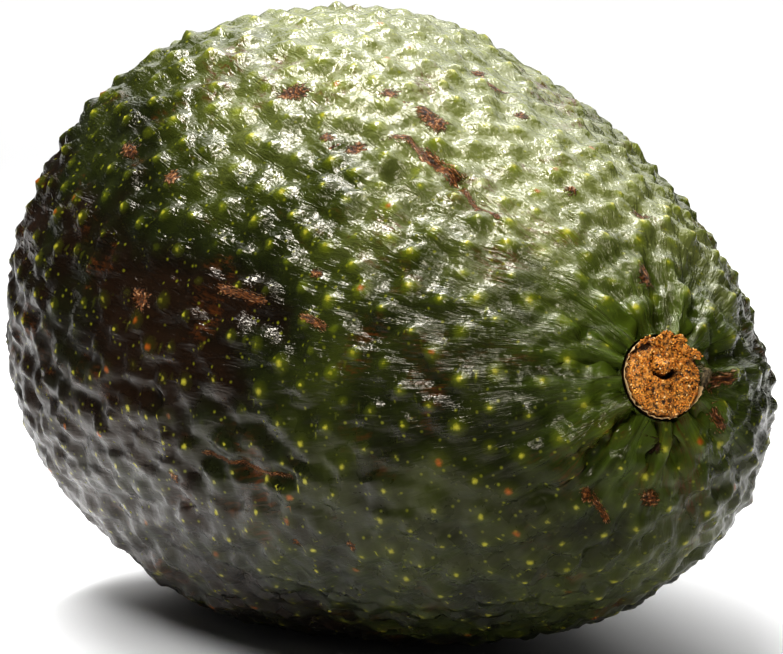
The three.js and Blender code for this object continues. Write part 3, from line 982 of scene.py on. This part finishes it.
# %% [markdown]
# Now the tree runs on the smooth body with its sizes, a fixed seed and the finish. The result becomes a plain
# mesh, so the skin carries no modifier.

# %% Grow the skin
grow(body, geo, skin_sockets, {**SKIN_SIZES, "Seed": 5, "Finish": skin})

# %% [markdown]
# ## The stem button
# Where the stalk snapped off, a plug of dry cork stays behind. It is a low dome, crumbly, with a torn nub and
# a furrow near its middle, a hole at its edge, and torn flaps that curl over its upper rim. Its face is a
# height over a disc, so each of these is one oval mound or one arc added to that height, in millimetres.

# %% The button's face
BUTTON_RADIUS, BUTTON_HEIGHT, BUTTON_DOME = 3.8, 2.0, 0.7
ROUND_FROM, ROUND_DEPTH = 0.86, 0.5
ARC_FADE = 25


def soft_waves(u, v, size, count, seed):
    """A smooth unevenness of about -1 to 1: waves of about that size in mm, in drawn directions."""
    draw = np.random.default_rng(seed)
    total = 0
    for turn, phase, stretch in draw.uniform((0, 0, 0.7), (2 * math.pi, 2 * math.pi, 1.4), (count, 3)):
        along = u * math.cos(turn) + v * math.sin(turn)
        total = total + np.sin(along * 2 * math.pi * stretch / size + phase)
    return total / math.sqrt(count)


def mound(u, v, middle, half_sizes, turn=0.0):
    """An oval hill, 1 at its middle."""
    du, dv = u - middle[0], v - middle[1]
    cos, sin = math.cos(turn), math.sin(turn)
    a, b = (du * cos + dv * sin) / half_sizes[0], (dv * cos - du * sin) / half_sizes[1]
    return np.exp(-(a * a + b * b))


def arc(u, v, middle, radius, width, start, end):
    """A ridge along a part of a circle, 1 at its line."""
    du, dv = u - middle[0], v - middle[1]
    turn = np.degrees(np.arctan2(dv, du)) % 360
    inside = np.clip((turn - start) / ARC_FADE, 0, 1) * np.clip((end - turn) / ARC_FADE, 0, 1)
    return inside * np.exp(-(((np.hypot(du, dv) - radius) / width) ** 2))


FACE_WAVES = ((0.12, 2.2, 6, 1), (0.09, 0.8, 9, 2), (0.06, 0.4, 12, 3))
FACE_FORMS = (
    (1.0, mound, ((-0.5, 0.95), (0.72, 0.48), 0.15)),  # the torn nub
    (0.3, arc, ((-0.35, 0.7), 1.6, 0.28, 165, 300)),  # a lip beside it
    (-1.15, arc, ((-0.35, 1.0), 1.15, 0.26, 185, 345)),  # the furrow
    (-0.5, mound, ((0.9, 0.1), (0.5, 0.3), 0.1)),  # three shallow pits
    (-0.9, mound, ((-1.35, 1.5), (0.6, 0.13), 1.2)),  # a crack
    (-0.5, mound, ((0.1, -1.2), (0.4, 0.35))),
    (-0.3, mound, ((1.5, -1.0), (0.6, 0.3), 0.5)),
    (-1.5, mound, ((-1.55, 3.0), (0.62, 0.42), 0.2)),  # the hole at its edge
    (-1.3, mound, ((3.0, 1.9), (0.8, 0.26), -0.9)),  # a notch
)


def button_face(u, v):
    """The height of the button's face over its floor."""
    r = np.hypot(u, v) / BUTTON_RADIUS
    height = BUTTON_HEIGHT + BUTTON_DOME * (1 - r * r)
    for swing, size, count, seed in FACE_WAVES:
        height = height + swing * soft_waves(u, v, size, count, seed)
    for size, form, numbers in FACE_FORMS:
        height = height + size * form(u, v, *numbers)
    edge = np.clip((r - ROUND_FROM) / (1 - ROUND_FROM), 0, 1)
    return height - ROUND_DEPTH * edge**2


print("forms on the button's face:", len(FACE_FORMS))

# %% [markdown]
# The disc is a set of rings about its middle. Its outline is a little uneven, as torn cork is. A wall and a
# floor close it, so the piece is solid and can be lifted out of its hollow.

# %% The button's disc
BUTTON_SIDES, BUTTON_RINGS = 168, 56
OUTLINE_WAVES = ((0.02, 3, 0.8), (0.012, 11, 0), (0.008, 23, 0))
WALL_SHARES, WALL_HEIGHTS = (1.0, 0.985, 0.97), (1.4, 0.7, 0.0)
button_turns = 2 * math.pi * np.arange(BUTTON_SIDES) / BUTTON_SIDES
outline = 1.01
for swing, waves, phase in OUTLINE_WAVES:
    outline = outline + swing * np.sin(waves * button_turns + phase)
outline = BUTTON_RADIUS * outline
ring_shares = np.concatenate((np.arange(1, BUTTON_RINGS + 1) / BUTTON_RINGS, WALL_SHARES))
disc_u = ring_shares[:, None] * outline * np.cos(button_turns)
disc_v = ring_shares[:, None] * outline * np.sin(button_turns)
disc_h = button_face(disc_u, disc_v)
disc_h[-3:] = np.array(WALL_HEIGHTS)[:, None]
disc = np.stack((disc_u, disc_v, disc_h), -1).reshape(-1, 3)
disc = np.concatenate(([(0, 0, button_face(0.0, 0.0))], disc, [(0, 0, 0)]))
button_parts = [(disc, ring_faces(len(ring_shares), BUTTON_SIDES), 0.0)]
print("disc:", len(disc), "points")

# %% [markdown]
# A flap or a piece of the papery rim is a thin sheet: a grid of points on top, the same grid a little lower,
# and a band that closes them. So even a torn edge is a real body, with an inside and an outside.

# %% Torn flaps
FLAP_ROWS, FLAP_COLUMNS = 34, 13
FLAP_LEVEL, FLAP_THICKNESS, FLAP_THINNING = 2.2, 0.3, 0.6
FLAP_TIP, FLAP_BLUNTNESS = 0.03, 0.35
FLAP_RAGGED, FLAP_WAVES, FLAP_CURL = 0.22, 0.10, 0.6
RIM_DROP = 0.35
FLAPS = (
    ((-0.9, 3.45), (1.5, 2.7), 0.5, 0.25, 0.55, 3),
    ((-0.2, 3.8), (1.2, 3.6), 0.38, 0.35, 0.6, 4),
    ((1.4, 3.5), (2.45, 2.95), 0.42, 0.3, 0.5, 5),
    ((1.45, 2.6), (3.85, 1.3), 0.38, 0.3, 0.5, 6),
    ((-2.6, 2.95), (-1.2, 3.75), 0.26, 0.25, 0.4, 7),
)


def closed_sheet(top, bottom):
    """Points and faces of a thin closed sheet between two equal grids, given as x, y and z."""
    top, bottom = (np.stack(np.broadcast_arrays(*grid), -1) for grid in (top, bottom))
    rows, columns = top.shape[:2]
    number = np.arange(rows * columns).reshape(rows, columns)
    low = number + rows * columns
    faces = []
    for grid, flip in ((number, False), (low, True)):
        quads = np.stack((grid[:-1, :-1], grid[1:, :-1], grid[1:, 1:], grid[:-1, 1:]), -1).reshape(-1, 4)
        faces += (quads[:, ::-1] if flip else quads).tolist()
    rim = np.concatenate((number[0, :-1], number[:-1, -1], number[-1, :0:-1], number[:0:-1, 0]))
    under = rim + rows * columns
    faces += np.stack((rim, np.roll(rim, -1), np.roll(under, -1), under), -1).tolist()
    return np.concatenate((top.reshape(-1, 3), bottom.reshape(-1, 3))), faces


for start, end, half_width, lift, curl, seed in FLAPS:
    s = np.linspace(0, 1, FLAP_ROWS)[:, None]
    q = np.linspace(-1, 1, FLAP_COLUMNS)[None, :]
    start, end = np.array(start), np.array(end)
    way = (end - start) / np.linalg.norm(end - start)
    taper = np.sin(math.pi * np.clip(s, FLAP_TIP, 1 - FLAP_TIP)) ** FLAP_BLUNTNESS
    ragged = 1 + FLAP_RAGGED * soft_waves(s * 3, q * 0.6, 0.9, 5, seed)
    u = start[0] + (end - start)[0] * s - way[1] * q * half_width * taper * ragged
    v = start[1] + (end - start)[1] * s + way[0] * q * half_width * taper * ragged
    curled = curl * (0.5 * (q + 1)) ** 2 * FLAP_CURL
    height = FLAP_LEVEL + lift + curled + FLAP_WAVES * soft_waves(u, v, 0.8, 6, seed + 20)
    height = height - RIM_DROP * np.clip(np.hypot(u, v) - BUTTON_RADIUS, 0, 2)
    thick = FLAP_THICKNESS * (1 - FLAP_THINNING * q**2)
    button_parts.append((*closed_sheet((u, v, height), (u, v, height - thick)), 0.0))
print("flaps:", len(FLAPS))

# %% [markdown]
# The rim is the skin's own dried edge, thin as paper. It stands around the button in pieces, each over its
# own range of degrees, and its upper edge is jagged.

# %% The papery rim
RIM_PIECES = ((105, 262), (248, 283), (300, 345), (20, 48))
RIM_RADIUS, RIM_LEAN, RIM_WOBBLE, RIM_THICKNESS = 3.84, 0.1, 0.04, 0.05
RIM_LEVEL, RIM_LEAST, RIM_TALLEST = 1.15, 0.15, 0.75
RIM_FADE = 8
for number, (start, end) in enumerate(RIM_PIECES):
    turn = np.radians(np.linspace(start, end, 6 + int((end - start) * 0.9)))[:, None]
    rise = np.linspace(0, 1, 4)[None, :]
    jag = 0.5 + 0.45 * soft_waves(turn * BUTTON_RADIUS, 0 * turn, 0.9, 6, 40 + number)
    to_end = np.minimum(np.linspace(0, RIM_FADE, len(turn)), np.linspace(RIM_FADE, 0, len(turn)))
    fade = np.clip(to_end, 0.1, 1)[:, None]
    inner = RIM_RADIUS + RIM_LEAN * rise + RIM_WOBBLE * np.sin(9 * turn)
    outer = inner + RIM_THICKNESS
    height = RIM_LEVEL + rise * (RIM_LEAST + RIM_TALLEST * jag) * fade
    outer_grid, inner_grid = (
        (radius * np.cos(turn), radius * np.sin(turn), height) for radius in (outer, inner)
    )
    button_parts.append((*closed_sheet(outer_grid, inner_grid), 1.0))
print("pieces of the rim:", len(RIM_PIECES))

# %% [markdown]
# All parts of the button become one mesh, turned from its own directions into the fruit's. Each point keeps
# whether it is papery, how deep it lies in the face, for painted shade in its hollows, and whether grains may
# grow on it.

# %% The button as one mesh
JOINT_GAP = 0.3
FACE_FROM = 1.45
button_points, button_faces, paper_share = [], [], []
first = 0
for points, faces, papery in button_parts:
    button_points.append(points)
    button_faces += [[corner + first for corner in face] for face in faces]
    paper_share += [papery] * len(points)
    first += len(points)
button_points = np.concatenate(button_points)
button_origin = stem_middle + stem_axis * (JOINT_GAP - HOLLOW_DEPTH)
button_places = button_origin + button_points @ np.stack((stem_right, stem_up, stem_axis))
button = made_object("stem_button_cork", button_places, button_faces)
plain_face = 1 - (np.hypot(*button_points[:, :2].T) / BUTTON_RADIUS) ** 2
depth = BUTTON_HEIGHT + BUTTON_DOME * plain_face - button_points[:, 2]
keep(button, "papery", paper_share)
keep(button, "depth", np.clip(depth, -0.6, 1.5))
keep(button, "face", (button_points[:, 2] > FACE_FROM) & (np.array(paper_share) < 0.5))
print("button:", len(button.data.polygons), "faces before its grains")

# %% [markdown]
# Cork crumbles into grains. A small Geometry Nodes tree scatters a coarse ball, of only 20 faces, over the
# button's face, each a little different in size, and joins them with it. Each grain carries a drawn tone.

# %% The button's grains
CORK_SIZES = {"Grain spacing": 0.22 * MM, "Grain radius": 0.14 * MM}
GRAINS_PER_AREA = 9e7
PATCH_SIZE, NO_TONE = 0.6 * MM, -1.0
crumb, cork_sockets = new_tree("Scatter cork grains", CORK_SIZES)
given = add(crumb, "NodeGroupInput").outputs
patches = add(crumb, "ShaderNodeTexNoise", {"Scale": 1 / PATCH_SIZE, "Detail": 2.0})
crumb_mask = product(crumb, span(crumb, patches, (0.3, 0.55)), named(crumb, "face"))
crumb_points = add(crumb, "GeometryNodeDistributePointsOnFaces", {
    "Mesh": given["Geometry"], "Distance Min": given["Grain spacing"], "Density Max": GRAINS_PER_AREA,
    "Density Factor": crumb_mask, "Seed": given["Seed"],
}, distribute_method="POISSON")
toned = store(crumb, crumb_points, "tone", drawn(crumb, 0.0, 1.0, 21))
crumb_size = drawn(crumb, (0.5, 0.5, 0.35), (1.3, 1.0, 0.95), 22, "FLOAT_VECTOR")
crumb_turn = drawn(crumb, (0.0, 0.0, 0.0), (0.0, 0.0, 6.28), 23, "FLOAT_VECTOR")
crumb_spin = add(crumb, "FunctionNodeRotateRotation", {
    "Rotation": crumb_points.outputs["Rotation"], "Rotate By": crumb_turn
}, rotation_space="LOCAL")
crumbs = add(crumb, "GeometryNodeInstanceOnPoints", {
    "Points": toned, "Instance": add(crumb, "GeometryNodeMeshIcoSphere", {"Radius": 1.0, "Subdivisions": 1}),
    "Rotation": crumb_spin, "Scale": calc_vector(crumb, "SCALE", crumb_size, given["Grain radius"]),
})
face_toned = store(crumb, given["Geometry"], "tone", NO_TONE)
joined = add(crumb, "GeometryNodeJoinGeometry")
crumb.links.new(face_toned.outputs[0], joined.inputs[0])
crumb.links.new(crumbs.outputs[0], joined.inputs[0])
end_tree(crumb, joined, given["Finish"])
print("the cork's tree has", len(crumb.nodes), "nodes")

# %% [markdown]
# ## The cork's finish
# Dry cork is matt and orange-brown. Its hollows get painted shade, nearly black. Its grains go from amber to
# cream, and the cream is partly rubbed cork and partly painted glints. The papery rim is straw-coloured. The
# grains' tones come from what the tree drew.

# %% The cork material
DEPTH_FROM, DEPTH_TO, HOLLOW_SHADE_SHARE = 0.12, 0.65, 0.9
CORK_BUMP = 0.15 * MM
cork, cork_look = new_material("Dry stem cork, torn")
tone = kept_here(cork_look, "tone")
cork_place = add(cork_look, "ShaderNodeTexCoord").outputs["Object"]
cork_noise = noise(cork_look, cork_place, 0.35, 4.0, Roughness=0.65)
cork_ground = colour_ramp(cork_look, cork_noise, (0.4, "#2f1404"), (0.6, "#e39a3a"))
# Painted glints: the cream end of the grains' tones stands partly for light caught on them.
grain_colour_with_glints = colour_ramp(
    cork_look, tone, (0, "#bd6e1c"), (0.6, "#ea9832"), (0.88, "#ffb850"), (1, "#ffe2aa")
)
is_grain = calc(cork_look, "GREATER_THAN", tone, -0.01)
cork_bare = mixed(cork_look, is_grain, cork_ground, grain_colour_with_glints)
# Painted shade: the deeper a point lies below the plain dome, the darker it is painted.
painted_hollow_shade = span(cork_look, kept_here(cork_look, "depth"), (DEPTH_FROM, DEPTH_TO), (0, HOLLOW_SHADE_SHARE))
cork_colour_with_shade = mixed(cork_look, painted_hollow_shade, cork_bare, linear("#2a1203"))
cork_paper = mixed(cork_look, kept_here(cork_look, "papery"), cork_colour_with_shade, linear("#cfae7c"))
cork_bump = add(cork_look, "ShaderNodeBump", {"Height": cork_noise, "Distance": CORK_BUMP, "Strength": 1.0})
surface(cork_look, {"Base Color": cork_paper, "Roughness": 0.55, "Normal": cork_bump})
grow(button, crumb, cork_sockets, {**CORK_SIZES, "Seed": 3, "Finish": cork})

# %% [markdown]
# ## Floor and light
# The fruit was lit by large soft boxes above and behind it, over a white table. The side towards the camera
# stays dark, and that makes the wax glint. The floor is plain and pale, and it would brighten the glossy
# underside. So a grey card lies on it, seen only in reflections, which stands in for a dark room.

# %% The floor and the dark card
FLOOR_HALF = 6000
CARD_IN, CARD_OUT, CARD_LEVEL = 40, 1600, 0.5
CARD_STEPS, CARD_START, CARD_END = 48, -148, 75
FADE_FROM, FADE_TO = 50 * MM, 100 * MM
MATT = {"Roughness": 0.9, "Specular IOR Level": 0.1}
floor_corners = FLOOR_HALF * np.array(((-1, -1, 0), (1, -1, 0), (1, 1, 0), (-1, 1, 0)))
floor = made_object("floor", floor_corners, [(0, 1, 2, 3)])
paper, paper_look = new_material("White paper floor, matt")
surface(paper_look, {"Base Color": linear("#ebebeb"), **MATT})
floor.data.materials.append(paper)

card_turns = np.radians(np.linspace(CARD_START, CARD_END, CARD_STEPS))
card_points = [
    (radius * math.cos(turn), radius * math.sin(turn), CARD_LEVEL)
    for radius in (CARD_IN, CARD_OUT) for turn in card_turns
]
card_faces = [(k, k + CARD_STEPS, k + CARD_STEPS + 1, k + 1) for k in range(CARD_STEPS - 1)]
card = made_object("dark card", np.array(card_points), card_faces)
card.visible_camera = False
card.visible_diffuse = False
card.visible_shadow = False
card_paper, card_look = new_material("Grey card, faded to white at its near edge")
card_place = add(card_look, "ShaderNodeTexCoord").outputs["Object"]
card_far = calc_vector(card_look, "LENGTH", card_place).outputs["Value"]
card_share = span(card_look, card_far, (FADE_FROM, FADE_TO))
card_colour = mixed(card_look, card_share, linear("#ebebeb"), linear("#626262"))
surface(card_look, {"Base Color": card_colour, **MATT})
card.data.materials.append(card_paper)
print("floor", 2 * FLOOR_HALF, "mm wide, card", CARD_OUT, "mm around the fruit")

# %% [markdown]
# The world gives hardly any light, yet the camera sees it white, as the photograph's background is. Four soft
# boxes do the rest. Each one's power follows from the brightness that its face should have, so a box can
# change its size and keep its brightness.

# %% World and lights
WORLD_LIGHT, WORLD_SEEN = 0.05, 1.0
world = bpy.data.worlds.new("pale studio")
bpy.context.scene.world = world
world.use_nodes = True
sky = world.node_tree
sky_light = sky.nodes["Background"]
sky_light.inputs["Color"].default_value = linear("#ffffff")
sky_light.inputs["Strength"].default_value = WORLD_LIGHT
seen_sky = add(sky, "ShaderNodeBackground", {"Color": linear("#ffffff"), "Strength": WORLD_SEEN})
camera_rays = add(sky, "ShaderNodeLightPath").outputs["Is Camera Ray"]
sky_mix = add(sky, "ShaderNodeMixShader", {0: camera_rays, 1: sky_light, 2: seen_sky})
sky.links.new(sky_mix.outputs[0], sky.nodes["World Output"].inputs["Surface"])
bpy.context.scene.view_settings.view_transform = "Standard"
bpy.context.scene.view_settings.look = "Medium High Contrast"
fruit_middle = Vector((0.013, 0.0, 0.033))


def soft_box(name, place_m, aim_m, width, height, radiance, spread):
    """A soft box with a grid in front. Its power is set so that its face has that radiance straight on."""
    data = bpy.data.lights.new(name, "AREA")
    data.shape = "RECTANGLE"
    data.size, data.size_y = width, height
    data.spread = math.radians(spread)
    half = data.spread / 2
    data.energy = radiance * math.pi * width * height * (1 - half / math.tan(half))
    light = bpy.data.objects.new(name, data)
    light.location = place_m
    light.rotation_euler = (Vector(place_m) - Vector(aim_m)).to_track_quat("Z", "Y").to_euler()
    light.visible_camera = False
    bpy.context.scene.collection.objects.link(light)
    print(name, round(data.energy, 2), "watts")
    return light


strip = soft_box("strip above the fruit", (-0.07, -0.045, 0.32), fruit_middle, 0.026, 0.5, 61, 90)
strip.rotation_euler = (math.radians(-8), math.radians(-12), math.radians(41))
soft_box("sparkle near the stem", (0.29, -0.2, 0.4), fruit_middle, 0.17, 0.14, 21, 70)
soft_box("ceiling behind", (-1.3, 0.65, 2.0), (-1.3, 0.65, 0), 2.4, 2.4, 4.1, 120)
soft_box("soft box behind", (-0.7, 0.42, 0.55), fruit_middle, 0.9, 0.7, 1.8, 110)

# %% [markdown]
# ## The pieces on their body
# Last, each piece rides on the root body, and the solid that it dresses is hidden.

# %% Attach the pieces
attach(body, "root")
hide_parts("fruit")
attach(button, "root")
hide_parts("stem_button")
